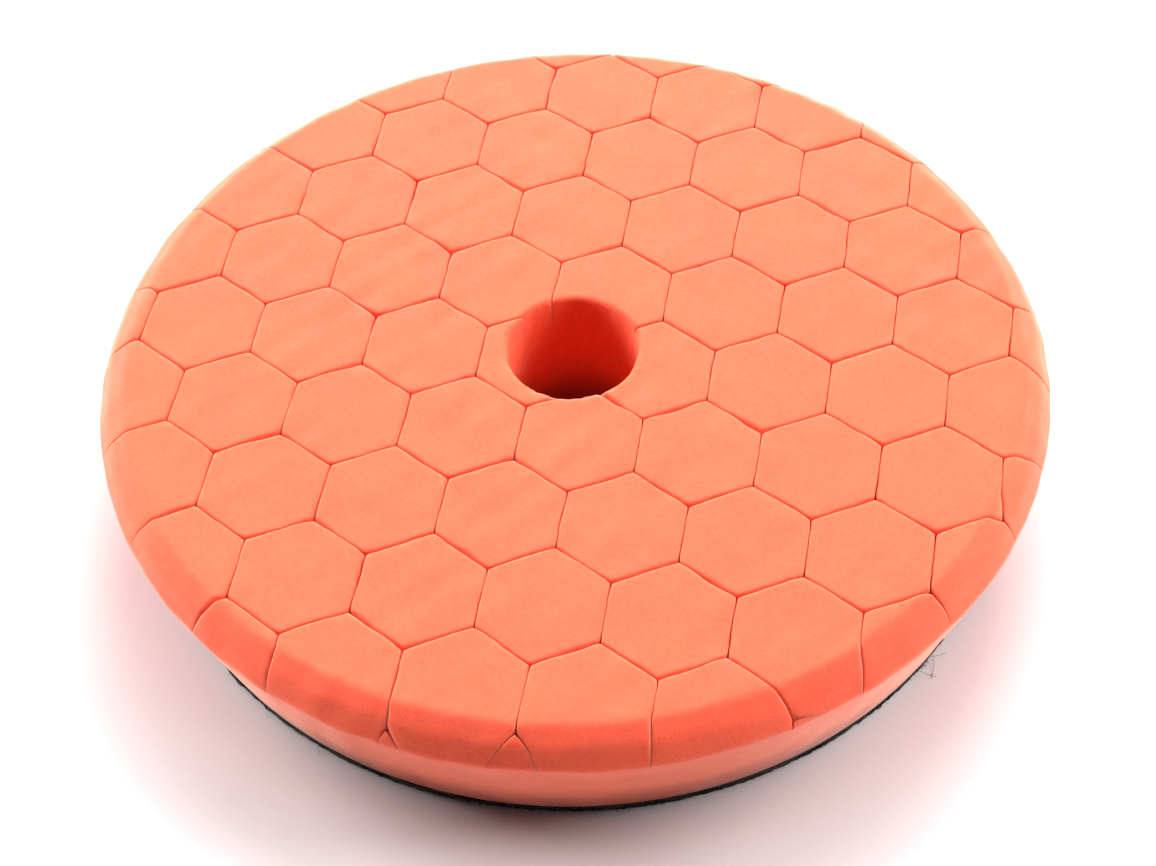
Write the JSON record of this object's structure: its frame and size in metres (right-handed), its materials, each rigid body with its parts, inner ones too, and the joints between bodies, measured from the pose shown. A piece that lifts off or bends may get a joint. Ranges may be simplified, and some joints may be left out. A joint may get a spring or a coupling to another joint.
{
  "type": "polishing pad",
  "caption": "Round open-cell foam polishing pad with a honeycomb of slits in its face, a bevelled rim, a centre hole in the foam and a hook-and-loop fabric back.",
  "frame": {"origin": "on the pad's axis, at the loop tips of the hook-and-loop back, on which the pad lies", "axes": "+Z along the pad's axis towards the working face; +X and +Y across the pad, with the corners of the honeycomb's cells towards +Y and -Y"},
  "size_m": [0.1498, 0.1497, 0.026],
  "materials": {
    "foam": "matte open-cell polyurethane foam",
    "bond_film": "thin melted bonding film",
    "ground_cloth": "matte knitted polyester",
    "loops": "brushed polyester loops"
  },
  "bodies": {
    "root": {"foam_pad": "foam", "adhesive_film": "bond_film", "backing_cloth": "ground_cloth", "loop_pile": "loops"}
  },
  "joints": []
}
